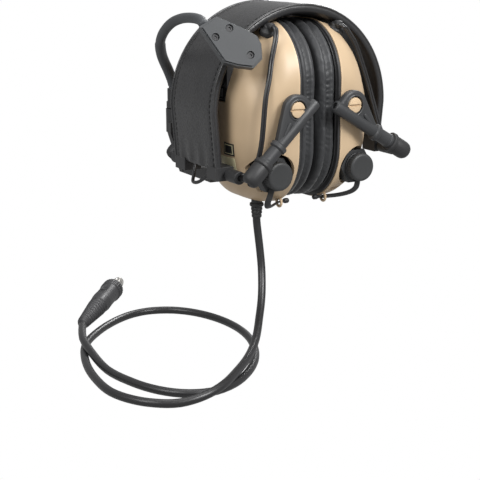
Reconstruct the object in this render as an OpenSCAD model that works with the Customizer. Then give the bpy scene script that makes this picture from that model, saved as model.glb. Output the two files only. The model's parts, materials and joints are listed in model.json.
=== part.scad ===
// Over-ear radio headset with a boom microphone, folded for storage.
// Two ear cups sit face to face inside a wide sprung headband.
// Millimetres. Origin: middle of the headband crown's underside, where the headset hangs.
// +Z up, +Y towards the wearer's front, +X towards the wearer's right.

/* [Headband] */
// Outer radius of the headband arch
band_r = 57; // [56:0.5:60]
// Thickness of the padded band
band_t = 4; // [3.5:0.5:4]
// Width of the band, front to back
band_w = 50; // [44:1:50]

/* [Ear cups] */
// Width of a cup at its rim, front to back
cup_w = 82; // [80:1:82]
// Thickness of an ear cushion
cushion_t = 10.5; // [8:0.5:10.5]
// Width of the ear opening in a cushion
ear_w = 44; // [38:1:46]
// Height of the ear opening in a cushion
ear_h = 64; // [56:1:66]

/* [Arms] */
// Slope of the left arm below horizontal, folded
left_slope = 44; // [42:1:46]
// Slope of the right arm below horizontal, folded
right_slope = 31; // [30:1:34]
// Diameter of the sprung steel wire
wire_d = 2.6; // [2.4:0.1:2.8]

/* [Cable] */
// Diameter of the radio cable
cable_d = 4.5; // [4:0.1:4.6]
// Diameter of the radio plug's contact tip
tip_d = 7.1; // [6.3:0.1:7.1]

/* [Hidden] */
$fn = 48;
run_gap = 0.06;
gap = 0.3;

// Headband: arch centre, hinge of each half, lean of the legs
arch_z = band_t - band_r;
band_mid = band_r - band_t / 2;
half_x = 8;
half_z = arch_z + sqrt(band_mid * band_mid - half_x * half_x);
leg_lean = 5;
wire_y = 19;

// Cups: [distance from the middle plane, half width, top, bottom] of each slice of the shell
cup_y = -3;
cushion_x = 1.5;
plate_x = cushion_x + cushion_t;
plate_t = 1.5;
rim_x = plate_x + plate_t;
rim_top = -4.5;
rim_bottom = -107;
slices = [
    [rim_x, cup_w / 2, rim_top, rim_bottom],
    [22, cup_w / 2 - 0.5, -7, -106.5],
    [30, cup_w / 2 - 3, -14, -103.5],
    [38, cup_w / 2 - 11, -25, -96],
    [44, cup_w / 2 - 24, -39, -83]];
shell_wall = 2.2;
face_x = 41;
cushion_top = -4;
cushion_bottom = -106;
cup_z = (cushion_top + cushion_bottom) / 2;
corner_r = 33;

// Arms: the pivot screws, and distances along the arm's tube from the pivot's foot
pivot_x = 18.5;
pivot_z = -50;
pivot_reach = 42;
boss_r = 4.8;
plate_y = pivot_reach + gap;
plate_h = 5;
arm_head_r = 8.3;
tube_plane = 45.4;
tube_offset = 6;
tube_inner = -11;
tube_step = 22;
tube_outer = 33;
tube_r = 3.4;
boot_r = 5;
boot_end = 42.5;
wire_bend = 46;
screw_d = 4;
head_d = 9;
sleeve_r = 3.6;
sleeve_l = 11;
sleeve_rear = -38;
sleeve_front = 27;

// Batteries: the axis of the battery tube on each cup, and the faces along it
battery_x = 27;
battery_z = -86;
battery_d = 10.5;
battery_l = 44;
tube_back = 9;
well_r = 8;
hex_y = -37;
hex_r = 10.6;
neck_y = -41;
neck_end = -46;
neck_r = 6.6;
cap_r = 8;
cap_y = -42.4;
cap_end = -47.2;
loop_x = 14.9;
loop_y = -25;
loop_z = -106.3;
loop_r = 3.1;

// Keypad on the left cup
key_y = -6;
key_z = -36;
key_pitch = 7.2;
key_proud = 2.7;
bezel_t = 2;
bezel_sink = 4.5;
bezel_h = 24;

// Boom: the swivel's axis, and the route of the gooseneck
boom_x = -40.5;
boom_y = 54;
socket_z = -74;
socket_top = -60;
ferrule_top = -48;
boom_d = 5.6;
boom_route = [
    [-40.5, 54, -51], [-40.5, 54, -48.5], [-40.5, 54, -46], [-41.8, 53.6, -42], [-45, 52.2, -36],
    [-50.5, 48, -28], [-55.5, 40, -19.5], [-58, 30, -12.5], [-58.5, 18, -6.5], [-57.5, 6, -3.5],
    [-57, -6, -3], [-58, -15, -3.8], [-60, -22, -5.5]];
mic_at = [-47.5, -35, -14];
mic_turn = -30;
mic_slope = 31;
mic_tilt = 18;
mic_t = 9;
mic_outline = [
    [-21, -4], [-16, 5.2], [-0.5, 7.3], [7.2, 7.5], [11.4, 5], [15.7, -1.6], [14.2, -8], [6.5, -11.5],
    [-0.6, -13.5]];
mic_screws = [[-7.2, 3.2], [-11.1, -4.6], [9.3, -3.1]];

// Cables
link_d = 2;
grommet_x = 22;
grommet_y = -24.3;
grommet_z = -10.4;
grommet_lean = 26;
left_link_route = [
    [-22, -29.6, -7.6], [-22.5, -33, -8.5], [-24.5, -36, -14], [-28, -38, -24], [-31, -40.5, -34],
    [-34, -42, -44], [-35.5, -42.5, -56], [-36, -41.5, -67], [-37.5, -40.5, -76], [-41, -40.3, -81.5],
    [-44.2, -40.2, -83.8], [-45.7, -38.5, -84.3]];
right_link_route = [
    [22, -29.6, -7.6], [24, -31.5, -9], [28, -29, -12], [35, -25.5, -18.5], [40.5, -24.5, -29],
    [45, -25.5, -42], [48.5, -27.5, -56], [51, -29.5, -67], [52.4, -31.5, -71.5], [53.3, -33.5, -74.2]];
gland_at = [-22, -13, -106];
gland_r = 3.2;
cable_route = [
    [-22, -13, -109.5], [-22, -13, -118], [-21, -14, -130], [-21, -17, -145], [-25, -24, -159],
    [-32, -33, -169], [-42, -46, -176], [-55, -60, -179.5], [-70, -74, -180.3], [-84, -85, -181],
    [-97, -89, -183], [-110, -87, -185], [-121, -81, -185], [-129, -71, -185], [-134, -57, -185],
    [-134, -40, -185], [-131, -20, -185], [-125, 0, -185], [-117, 17, -185], [-105, 31, -185],
    [-91, 43, -185], [-75, 52, -185], [-60, 54, -185], [-46, 48, -185], [-36, 36, -185],
    [-30, 20, -185], [-28, 2, -185], [-30, -16, -185], [-36, -34, -185], [-46, -52, -185],
    [-59, -67, -185], [-74, -78, -185], [-90, -82, -185], [-104, -76, -185], [-114, -63, -185],
    [-120, -46, -185], [-123, -27, -185], [-123, -8, -182.5], [-120, 14, -180], [-111, 36, -179.3]];
left_tether_route = [
    [-29.5, -41.7, -93.5], [-31, -41.7, -98], [-31.5, -40.5, -102.5], [-28.5, -37, -106.3],
    [-23, -31.5, -107.3], [-18.5, -27, -106.8], [-14.9, -25, -106.3], [-11.5, -24.6, -106.2]];
right_tether_route = [
    [27.5, -41.7, -94], [26.8, -41.5, -98], [24.5, -39, -101], [20.5, -34, -103.2],
    [17, -28.5, -105], [14.9, -25, -106.2], [11.5, -24.6, -106.2]];
plug_turn = 50;
plug_at = [-111, 36, -179.3];
tail_l = 36;
grip_l = 20;
collar_l = 9;
tip_l = 15;

function slope(s) = s < 0 ? left_slope : right_slope;
// Direction of an arm's tube, outwards and down, and its foot beside the pivot
function tube_dir(s) = [s * cos(slope(s)), 0, -sin(slope(s))];
function tube_foot(s) = [s * (pivot_x - tube_offset * sin(slope(s))), 0, pivot_z - tube_offset * cos(slope(s))];
function fold_at(s) = tube_foot(s) + wire_bend * tube_dir(s);

function unit(v) = v / norm(v);
function tangent(p, i) =
    unit(unit(p[min(i + 1, len(p) - 1)] - p[max(min(i, len(p) - 2), 0)])
        + unit(p[max(i, 1)] - p[max(i - 1, 0)]));
function flatten(v, t) = unit(v - (v * t) * t);
function normals(p, start) =
    [for (i = 0, n = flatten(start, tangent(p, 0)); i < len(p);
        i = i + 1, n = i < len(p) ? flatten(n, tangent(p, i)) : n) n];
function midway(p, i) =
    let (a = p[max(i - 1, 0)], b = p[i], c = p[i + 1], d = p[min(i + 2, len(p) - 1)])
    (9 * (b + c) - a - d) / 16;
function smoothed(p) =
    concat([for (i = [0:len(p) - 2]) each [p[i], midway(p, i)]], [p[len(p) - 1]]);

// A closed tube swept along points, w wide and h thick
module swept(p, w, h, sides, start) {
    n = normals(p, start);
    pts = [for (i = [0:len(p) - 1]) let (t = tangent(p, i), b = cross(t, n[i]))
        for (k = [0:sides - 1]) let (a = 360 * (k + 0.5) / sides)
            p[i] + n[i] * cos(a) * w / 2 + b * sin(a) * h / 2];
    walls = [for (i = [0:len(p) - 2]) for (k = [0:sides - 1]) let (j = (k + 1) % sides)
        each [[i * sides + k, (i + 1) * sides + k, (i + 1) * sides + j],
            [i * sides + k, (i + 1) * sides + j, i * sides + j]]];
    ends = [[for (k = [0:sides - 1]) k], [for (k = [sides - 1:-1:0]) (len(p) - 1) * sides + k]];
    polyhedron(pts, concat(walls, ends), convexity = 10);
}

module mirrored(s) {
    if (s < 0) mirror([1, 0, 0]) children();
    else children();
}

// Lays a drawing whose X and Y are the part's X and Z, from y0 forward to y1
module upright(y0, y1) {
    translate([0, y1, 0]) rotate([90, 0, 0]) linear_extrude(y1 - y0) children();
}

// A cylinder along +Y
module rod(at, r, l) {
    translate(at) rotate([-90, 0, 0]) cylinder(r = r, h = l);
}

module round_rect(hw, z0, z1, r) {
    rr = min(r, hw - 1, (z1 - z0) / 2 - 1);
    for (y = [-1, 1], z = [z0 + rr, z1 - rr]) translate([y * (hw - rr), z]) circle(rr);
    translate([-hw, z0 + rr]) square([2 * hw, z1 - z0 - 2 * rr]);
    translate([-hw + rr, z0]) square([2 * (hw - rr), z1 - z0]);
}

// A slab of the cup's outline, from x to x + t on the right side
module slab(x, t, hw, top, bottom, r = corner_r) {
    translate([x, cup_y, 0]) rotate([90, 0, 90]) linear_extrude(t) round_rect(hw, bottom, top, r);
}

// ---------------------------------------------------------------- headband
function arc(c, r, a0, a1, n) = [for (i = [0:n]) let (a = a0 + (a1 - a0) * i / n) c + r * [cos(a), sin(a)]];

function leg_end(s) = fold_at(s)[2] + 4;
function leg_mid_x(s) = band_mid - (arch_z - leg_end(s)) * tan(leg_lean);

// One half of the band: rounded nose at the crown, quarter arch, leaning leg
module band_half_outline(end_z) {
    nose = acos(half_x / band_mid);
    drift = (arch_z - end_z) * tan(leg_lean);
    polygon(concat(
        arc([0, arch_z], band_r, nose, 0, 36),
        [[band_r - drift, end_z], [band_r - band_t - drift, end_z]],
        arc([0, arch_z], band_r - band_t, 0, nose, 36),
        arc([half_x, half_z], band_t / 2, nose + 165, nose + 15, 10)));
}

module band_wire(s, d, y, extra) {
    angle = 90 - asin((half_x + 4) / band_mid);
    drop = arch_z - leg_end(s);
    translate([0, y, arch_z]) {
        rotate([90, 0, 0]) rotate_extrude(angle = angle) translate([band_mid, 0]) circle(d / 2);
        translate([band_mid, 0, 0]) {
            sphere(d / 2 + 0.2);
            rotate([0, 180 + leg_lean, 0]) cylinder(r = d / 2, h = drop / cos(leg_lean) + extra);
        }
    }
}

module headband_crown() {
    color("#262626") difference() {
        upright(-band_w / 2, band_w / 2) difference() {
            translate([0, arch_z]) circle(band_r, $fn = 96);
            translate([0, arch_z]) circle(band_r - band_t, $fn = 96);
            translate([-2 * band_r, arch_z - 2 * band_r]) square([4 * band_r, 2 * band_r + 40]);
            for (s = [-1, 1]) translate([s * (half_x + band_r), 0]) square(2 * band_r, center = true);
        }
        for (s = [-1, 1]) rod([s * half_x, -band_w / 2 - 1, half_z], band_t / 2 + gap, band_w + 2);
    }
}

module band_cover(s) {
    color("#2b2b2b") mirrored(s) difference() {
        upright(-band_w / 2, band_w / 2) band_half_outline(leg_end(s));
        for (y = [-wire_y, wire_y]) band_wire(s, wire_d + 0.6, y, 2);
    }
}

module band_wires(s) {
    color("#55565a") mirrored(s) for (y = [-wire_y, wire_y]) band_wire(s, wire_d, y, -0.3);
}

module band_clips(s) {
    f = fold_at(s);
    top = leg_end(s);
    inner = min(abs(f[0]) - 3.6, leg_mid_x(s) - band_t / 2);
    outer = max(abs(f[0]) + 3.6, leg_mid_x(s) + band_t / 2);
    color("#202022") mirrored(s) for (y = [-band_w / 2, band_w / 2 - 12]) difference() {
        translate([inner, y, f[2] - 3.6]) cube([outer - inner, 12, top - f[2] + 3.6]);
        rod([abs(f[0]), y - 1, f[2]], wire_d / 2 + run_gap, 14);
    }
}

// ---------------------------------------------------------------- folding wires and arms
// Puts a piece drawn beside the front pivot at its pivot: +X along the tube, e = 1 front or -1 rear
module on_arm(s, e) {
    mirrored(s) translate([pivot_x, cup_y, pivot_z]) rotate([0, slope(s), 0])
        if (e < 0) mirror([0, 1, 0]) children();
        else children();
}

module along_tube(x0, x1, r) {
    translate([x0, tube_plane, -tube_offset]) rotate([0, 90, 0]) cylinder(r = r, h = x1 - x0);
}

module fold_wires(s) {
    f = fold_at(s);
    rear_y = cup_y - tube_plane;
    front_y = cup_y + tube_plane;
    pin_y = band_w / 2 - 11;
    color("#3a3a3c") {
        for (e = [-1, 1]) on_arm(s, e) {
            along_tube(tube_inner + 3, wire_bend, wire_d / 2);
            translate([wire_bend, tube_plane, -tube_offset]) sphere(wire_d / 2 + 0.2);
        }
        rod([f[0], rear_y, f[2]], wire_d / 2, -pin_y - rear_y);
        rod([f[0], pin_y, f[2]], wire_d / 2, front_y - pin_y);
    }
}

module wire_sleeves(s) {
    f = fold_at(s);
    color("#161616") for (y = [sleeve_rear, sleeve_front]) difference() {
        rod([f[0], y, f[2]], sleeve_r, sleeve_l);
        rod([f[0], y - 1, f[2]], wire_d / 2, sleeve_l + 2);
    }
}

module arm(s, e) {
    color("#2e2f30") on_arm(s, e) difference() {
        union() {
            translate([0, plate_y, 0]) rotate([-90, 0, 0]) cylinder(r = arm_head_r, h = plate_h);
            upright(plate_y, plate_y + plate_h)
                polygon([[-4, 7.5], [2, 8.2], [tube_step, 2 - tube_offset],
                    [tube_step, -2 - tube_offset], [-9, -tube_offset]]);
            along_tube(tube_inner, tube_step, tube_r);
            along_tube(tube_step, tube_step + 2, tube_r + 1.2);
            along_tube(tube_step, tube_outer, tube_r + 0.5);
        }
        translate([0, plate_y - 1, 0]) rotate([-90, 0, 0])
            cylinder(r = screw_d / 2 + run_gap, h = plate_h + 2);
        translate([0, plate_y + plate_h - 1.4, 0]) rotate([-90, 0, 0]) cylinder(r = head_d / 2 + gap, h = 3);
        along_tube(tube_inner - 1, tube_outer + 1, wire_d / 2 + run_gap);
    }
}

module arm_boot(s, e) {
    color("#1b1b1b") on_arm(s, e) difference() {
        union() {
            along_tube(tube_outer, tube_outer + 2.6, boot_r + 0.7);
            along_tube(tube_outer, boot_end - 1.5, boot_r);
            along_tube(boot_end - 1.6, boot_end, boot_r - 1.2);
        }
        along_tube(tube_outer - 1, boot_end + 1, wire_d / 2 + run_gap);
    }
}

// ---------------------------------------------------------------- ear cups
module shell_hull(t) {
    hull() for (c = slices) slab(c[0] - (c[0] > 30 ? t : 0), 0.4, c[1] - t, c[2] - t, c[3] + t, corner_r - t);
}

module pivot_rod(s, e, r, from, to) {
    rod([s * pivot_x, cup_y + (e < 0 ? -to : from), pivot_z], r, to - from);
}

module battery_rod(s, r, y0, y1) {
    rod([s * battery_x, y0, battery_z], r, y1 - y0);
}

module shell(s) {
    color("#c8a67c") difference() {
        union() {
            mirrored(s) difference() {
                shell_hull(0);
                shell_hull(shell_wall);
                slab(rim_x - 1, 2, cup_w / 2 - shell_wall, rim_top - shell_wall, rim_bottom + shell_wall);
            }
            for (e = [-1, 1]) pivot_rod(s, e, boss_r, pivot_reach - 7, pivot_reach);
        }
        for (e = [-1, 1]) pivot_rod(s, e, screw_d / 2, pivot_reach - 8, pivot_reach + 1);
        battery_rod(s, hex_r + gap, -cup_w, hex_y + 9);
        battery_rod(s, well_r + gap, -cup_w, tube_back + gap);
        translate([s * grommet_x, grommet_y, grommet_z]) rotate([grommet_lean, 0, 0])
            cylinder(r = 2.6, h = 12, center = true);
        if (s < 0) {
            translate([gland_at[0], gland_at[1], gland_at[2] - 5]) cylinder(r = gland_r - 0.9, h = 10);
            translate([-36, 14, -100]) cube([6, 14, 8]);
            translate([-face_x - 4, key_y - 10.2, key_z - bezel_h / 2 - 0.2])
                cube([bezel_sink + 4.2, 20.4, bezel_h + 0.4]);
        }
    }
}

// Eyelet on the rim for the battery cap's tether
module tether_eyelet(s) {
    color("#c8a67c") difference() {
        union() {
            translate([s * loop_x - 1.2, loop_y, loop_z]) rotate([0, 90, 0]) cylinder(r = loop_r, h = 2.4);
            translate([s * loop_x - 1.2, loop_y - 1.1, loop_z + 1.9]) cube([2.4, 2.2, 2]);
        }
        translate([s * loop_x - 3, loop_y, loop_z]) rotate([0, 90, 0]) cylinder(r = 1.7, h = 6);
    }
}

module baffle_plate(s) {
    color("#1d1d1d") mirrored(s) difference() {
        slab(plate_x, plate_t, cup_w / 2 - 0.5, rim_top - 0.5, rim_bottom + 0.5);
        translate([plate_x - 1, cup_y, cup_z]) rotate([0, 90, 0]) cylinder(r = 14, h = 4);
    }
}

module cushion(s) {
    color("#242424") mirrored(s) difference() {
        slab(cushion_x, cushion_t, cup_w / 2 - 1.5, cushion_top, cushion_bottom, 32);
        slab(cushion_x - 1, cushion_t + 2, ear_w / 2, cup_z + ear_h / 2, cup_z - ear_h / 2, 20);
    }
}

module acoustic_foam(s) {
    color("#4a4a4a") mirrored(s) difference() {
        slab(rim_x + 1, 4, 33, -17, -76, 16);
        translate([rim_x, cup_y, cup_z]) rotate([0, 90, 0]) cylinder(r = 18.5, h = 8);
    }
}

module speaker(s) {
    color("#8a8c90") mirrored(s) translate([rim_x, cup_y, cup_z]) rotate([0, 90, 0]) {
        cylinder(r = 18, h = 3);
        cylinder(r = 12, h = 8);
    }
}

module circuit_board() {
    color("#2f6b3a") translate([-32.6, cup_y - 20, -68]) cube([1.6, 40, 40]);
    color("#333333") {
        translate([-31, cup_y - 12, -60]) cube([2.5, 10, 10]);
        translate([-31, cup_y + 2, -45]) cube([3.5, 9, 12]);
    }
}

module pivot_screws(s) {
    color("#c8a67c") for (e = [-1, 1]) difference() {
        union() {
            pivot_rod(s, e, screw_d / 2, pivot_reach - 7, plate_y + plate_h - 1);
            pivot_rod(s, e, head_d / 2, plate_y + plate_h - 1.3, plate_y + plate_h + 0.3);
        }
        translate([s * pivot_x, cup_y + e * (plate_y + plate_h + 0.3), pivot_z])
            cube([head_d + 2, 1.6, 1.2], center = true);
    }
}

module battery_holder(s) {
    color("#171717") difference() {
        union() {
            battery_rod(s, well_r, hex_y, tube_back);
            translate([s * battery_x, neck_y, battery_z]) rotate([-90, 0, 0])
                cylinder(r = hex_r, h = 7, $fn = 6);
            battery_rod(s, neck_r, neck_end, neck_y + 1);
        }
        battery_rod(s, battery_d / 2 + gap, neck_end - 1, tube_back - 1.5);
    }
}

module battery(s) {
    color("#9c9c9c") battery_rod(s, battery_d / 2, tube_back - 2 - battery_l, tube_back - 3);
}

module battery_cap(s) {
    color("#141414") difference() {
        battery_rod(s, cap_r, cap_end, cap_y);
        battery_rod(s, neck_r + run_gap, cap_end + 1.1, cap_y + 1);
    }
}

module cap_tether(s) {
    color("#121212") {
        difference() {
            battery_rod(s, cap_r + 0.2, -42.1, -41.1);
            battery_rod(s, neck_r + 0.1, -43, -40);
        }
        swept(smoothed(s < 0 ? left_tether_route : right_tether_route), 3.2, 1.1, 8, [1, 0, 0]);
    }
}

module link_grommet(s) {
    color("#151515") {
        translate([s * grommet_x, grommet_y, grommet_z]) rotate([grommet_lean, 0, 0]) {
            translate([0, 0, -3]) cylinder(r = 2.5, h = 6);
            cylinder(r = 4.7, h = 1.6);
            cylinder(r = 2.4, h = 3.4);
        }
        rod([s * grommet_x, -29.5, -7.6], 1.7, 3.6);
    }
}

module link_cable(s) {
    color("#0f0f0f") swept(smoothed(s < 0 ? left_link_route : right_link_route), link_d, link_d, 8, [1, 0, 0]);
}

// ---------------------------------------------------------------- keypad
module keypad_bezel() {
    color("#151515") difference() {
        translate([-face_x - bezel_t, key_y - 10, key_z - bezel_h / 2])
            cube([bezel_t + bezel_sink, 20, bezel_h]);
        for (k = [-1:1]) translate([-face_x - 4, key_y - 6.3, key_z + k * key_pitch - 3])
            cube([6, 12.6, 6]);
    }
}

module keypad_button(k) {
    color("#2a2a2a") translate([-face_x - 0.4 - key_proud, key_y - 6, key_z + k * key_pitch - 2.7])
        cube([key_proud - 0.9, 12, 5.4]);
}

// ---------------------------------------------------------------- boom microphone
module boom_bracket() {
    color("#1a1a1a") difference() {
        union() {
            translate([-37, 14.5, -99]) cube([6, 38, 7]);
            upright(49.3, 54) polygon([[-37, -99], [-31, -99], [-31, -92], [-36, -68], [-45, -68], [-45, -74]]);
            translate([boom_x, boom_y, socket_z]) cylinder(r = 4.6, h = socket_top - socket_z);
        }
        translate([boom_x, boom_y, socket_z + 2]) cylinder(r = 2.5 + run_gap, h = 20);
    }
}

module boom_ferrule() {
    color("#202224") difference() {
        union() {
            translate([boom_x, boom_y, socket_z + 3]) cylinder(r = 2.5, h = socket_top - socket_z);
            translate([boom_x, boom_y, socket_top + gap]) cylinder(r = 4.2, h = 4);
            translate([boom_x, boom_y, socket_top + 3]) cylinder(r = 3.6, h = ferrule_top - socket_top - 3);
        }
        translate([boom_x, boom_y, boom_route[0][2] - gap]) cylinder(r = boom_d / 2 + run_gap, h = 20);
    }
}

module gooseneck() {
    color("#36383a") swept(smoothed(boom_route), boom_d, boom_d, 16, [1, 0, 0]);
}

// Drawn with its face up, +X along the microphone's length
module on_mic() {
    translate(mic_at) rotate([90, 0, mic_turn]) rotate([0, 0, -mic_slope]) rotate([-mic_tilt, 0, 0]) children();
}

module mic_cover() {
    color("#55595c") on_mic() difference() {
        union() {
            linear_extrude(mic_t / 2 - 1) polygon(mic_outline);
            translate([0, 0, mic_t / 2 - 1.01]) linear_extrude(1.01) polygon(0.93 * mic_outline);
        }
        for (q = mic_screws) {
            translate([q[0], q[1], mic_t / 2 - 2]) cylinder(r = 2, h = 3);
            translate([q[0], q[1], -1]) cylinder(r = 0.9, h = mic_t);
        }
    }
}

module mic_base() {
    color("#4b4f52") on_mic() difference() {
        union() {
            translate([0, 0, -mic_t / 2 + 1]) linear_extrude(mic_t / 2 - 1) polygon(mic_outline);
            translate([0, 0, -mic_t / 2]) linear_extrude(1.01) polygon(0.93 * mic_outline);
        }
        translate([3, -3, -mic_t / 2 + 1.5]) cylinder(r = 4.8, h = mic_t);
        for (q = mic_screws) translate([q[0], q[1], -2.6]) cylinder(r = 0.9, h = 3);
    }
}

module mic_cover_screws() {
    color("#8f9296") on_mic() for (q = mic_screws) difference() {
        union() {
            translate([q[0], q[1], -2.4]) cylinder(r = 0.9, h = mic_t / 2 + 1);
            translate([q[0], q[1], mic_t / 2 - 2]) cylinder(r = 1.7, h = 1);
        }
        translate([q[0], q[1], mic_t / 2 - 1.6]) cylinder(r = 0.9, h = 2, $fn = 6);
    }
}

// ---------------------------------------------------------------- radio cable and plug
module cable_gland() {
    color("#131313") translate([gland_at[0], gland_at[1], 0]) {
        translate([0, 0, -107]) cylinder(r = gland_r - 1, h = 5);
        translate([0, 0, -109.5]) cylinder(r = gland_r, h = 2.9);
    }
}

module radio_cable() {
    color("#0d0d0d") swept(smoothed(cable_route), cable_d, cable_d, 8, [1, 0, 0]);
}

module on_plug(d) {
    translate(plug_at) rotate([0, 0, plug_turn]) translate([d, 0, 0]) rotate([0, 90, 0]) children();
}

module plug_body() {
    color("#161616") {
        on_plug(0) cylinder(r1 = 3.1, r2 = 6, h = tail_l);
        on_plug(tail_l) cylinder(r = 6.9, h = grip_l);
        on_plug(tail_l + grip_l) cylinder(r = 8, h = collar_l);
    }
}

module plug_tip() {
    color("#c9cacc") on_plug(tail_l + grip_l + collar_l) {
        cylinder(r = tip_d / 2, h = tip_l - 3);
        translate([0, 0, tip_l - 3]) cylinder(r1 = tip_d / 2, r2 = 1.6, h = 3);
    }
}

headband_crown();
band_cover(-1);  // left_band_cover
band_wires(-1);  // left_band_wires
band_clips(-1);  // left_band_clips
fold_wires(-1);  // left_fold_wires
wire_sleeves(-1);  // left_wire_sleeves
arm(-1, -1);  // left_rear_arm
arm_boot(-1, -1);  // left_rear_boot
arm(-1, 1);  // left_front_arm
arm_boot(-1, 1);  // left_front_boot
shell(-1);  // left_shell
tether_eyelet(-1);  // left_tether_eyelet
baffle_plate(-1);  // left_baffle_plate
cushion(-1);  // left_cushion
acoustic_foam(-1);  // left_foam
speaker(-1);  // left_speaker
pivot_screws(-1);  // left_pivot_screws
battery_holder(-1);  // left_battery_holder
battery(-1);  // left_battery
battery_cap(-1);  // left_battery_cap
cap_tether(-1);  // left_cap_tether
link_grommet(-1);  // left_link_grommet
link_cable(-1);  // left_link_cable
band_cover(1);  // right_band_cover
band_wires(1);  // right_band_wires
band_clips(1);  // right_band_clips
fold_wires(1);  // right_fold_wires
wire_sleeves(1);  // right_wire_sleeves
arm(1, -1);  // right_rear_arm
arm_boot(1, -1);  // right_rear_boot
arm(1, 1);  // right_front_arm
arm_boot(1, 1);  // right_front_boot
shell(1);  // right_shell
tether_eyelet(1);  // right_tether_eyelet
baffle_plate(1);  // right_baffle_plate
cushion(1);  // right_cushion
acoustic_foam(1);  // right_foam
speaker(1);  // right_speaker
pivot_screws(1);  // right_pivot_screws
battery_holder(1);  // right_battery_holder
battery(1);  // right_battery
battery_cap(1);  // right_battery_cap
cap_tether(1);  // right_cap_tether
link_grommet(1);  // right_link_grommet
link_cable(1);  // right_link_cable
circuit_board();  // left_circuit_board
keypad_bezel();
keypad_button(1);  // upper_button
keypad_button(0);  // middle_button
keypad_button(-1);  // lower_button
boom_bracket();
boom_ferrule();
gooseneck();
mic_cover();
mic_base();
mic_cover_screws();
cable_gland();
radio_cable();
plug_body();  // radio_plug_body
plug_tip();  // radio_plug_tip
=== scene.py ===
import bpy
import bmesh
import json
import math
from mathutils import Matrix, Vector, noise
from mathutils.bvhtree import BVHTree


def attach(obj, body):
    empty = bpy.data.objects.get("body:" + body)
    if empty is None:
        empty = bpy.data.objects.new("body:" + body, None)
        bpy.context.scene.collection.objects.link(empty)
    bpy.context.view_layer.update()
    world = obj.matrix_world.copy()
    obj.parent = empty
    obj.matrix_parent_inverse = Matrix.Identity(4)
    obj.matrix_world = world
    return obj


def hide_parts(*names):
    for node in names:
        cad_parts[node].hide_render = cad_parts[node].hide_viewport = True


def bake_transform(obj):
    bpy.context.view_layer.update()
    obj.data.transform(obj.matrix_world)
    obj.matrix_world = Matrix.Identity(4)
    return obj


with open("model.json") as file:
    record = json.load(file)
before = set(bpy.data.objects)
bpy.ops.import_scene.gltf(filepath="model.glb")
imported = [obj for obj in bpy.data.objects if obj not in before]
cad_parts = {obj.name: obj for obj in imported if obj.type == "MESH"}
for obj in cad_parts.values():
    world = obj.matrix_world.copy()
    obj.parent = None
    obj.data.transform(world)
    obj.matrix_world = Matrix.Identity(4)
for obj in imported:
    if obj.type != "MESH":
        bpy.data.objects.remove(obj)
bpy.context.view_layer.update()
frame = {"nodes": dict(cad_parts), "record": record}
scene = bpy.context.scene
MM = 0.001

# measures that several pieces share, in millimetres, as in the part's source
PIVOT_X, CUP_Y, PIVOT_Z = 18.5, -3, -50
CAP_X, CAP_Z = 27, -86
FLOOR_Z, FLOOR_HALF = -187.6, 3000

# ---------------------------------------------------------------- camera
cam = bpy.data.objects.new("camera", bpy.data.cameras.new("camera"))
scene.collection.objects.link(cam)
scene.camera = cam
cam.location = (-0.3509, -0.5636, 0.0365)
cam.rotation_euler = (math.radians(75.5), 0, math.radians(-30))
cam.data.sensor_width = 36
cam.data.lens = 86.25


# ---------------------------------------------------------------- materials
class Nodes:
    """A short way to write a node tree."""

    def __init__(self, name):
        self.mat = bpy.data.materials.new(name)
        self.mat.use_nodes = True
        self.tree = self.mat.node_tree
        self.bsdf = self.tree.nodes["Principled BSDF"]
        self.coords = self.tree.nodes.new("ShaderNodeTexCoord").outputs["Object"]

    def add(self, kind, **inputs):
        n = self.tree.nodes.new("ShaderNode" + kind)
        for key, value in inputs.items():
            if key in ("operation", "blend_type", "feature", "data_type", "distance", "wave_type",
                       "bands_direction"):
                setattr(n, key, value)
                continue
            socket = n.inputs[key.replace("_", " ")]
            if isinstance(value, bpy.types.NodeSocket):
                self.tree.links.new(value, socket)
            else:
                socket.default_value = value
        return n

    def ramp(self, fac, stops):
        n = self.tree.nodes.new("ShaderNodeValToRGB")
        self.tree.links.new(fac, n.inputs[0])
        while len(n.color_ramp.elements) < len(stops):
            n.color_ramp.elements.new(0.5)
        for e, (pos, col) in zip(n.color_ramp.elements, stops):
            e.position = pos
            e.color = (*col, 1) if len(col) == 3 else col
        return n.outputs["Color"]

    def noise(self, scale, detail=3, rough=0.55, coords=None):
        n = self.add("TexNoise", Vector=coords or self.coords, Scale=scale, Detail=detail, Roughness=rough)
        return n.outputs["Fac"]

    def mapped(self, scale):
        return self.add("Mapping", Vector=self.coords, Scale=scale).outputs[0]

    def link(self, out, name):
        self.tree.links.new(out, self.bsdf.inputs[name])

    def math(self, op, a, b=0.0, c=0.0):
        n = self.tree.nodes.new("ShaderNodeMath")
        n.operation = op
        for i, v in enumerate((a, b, c)):
            if isinstance(v, bpy.types.NodeSocket):
                self.tree.links.new(v, n.inputs[i])
            else:
                n.inputs[i].default_value = v
        return n.outputs[0]

    def bump(self, height, strength, distance, under=None):
        n = self.tree.nodes.new("ShaderNodeBump")
        n.inputs["Strength"].default_value = strength
        n.inputs["Distance"].default_value = distance
        self.tree.links.new(height, n.inputs["Height"])
        if under is not None:
            self.tree.links.new(under, n.inputs["Normal"])
        return n.outputs["Normal"]


def shade(c, k):
    return tuple(max(0.0, min(1.0, v * k)) for v in c)


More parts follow.
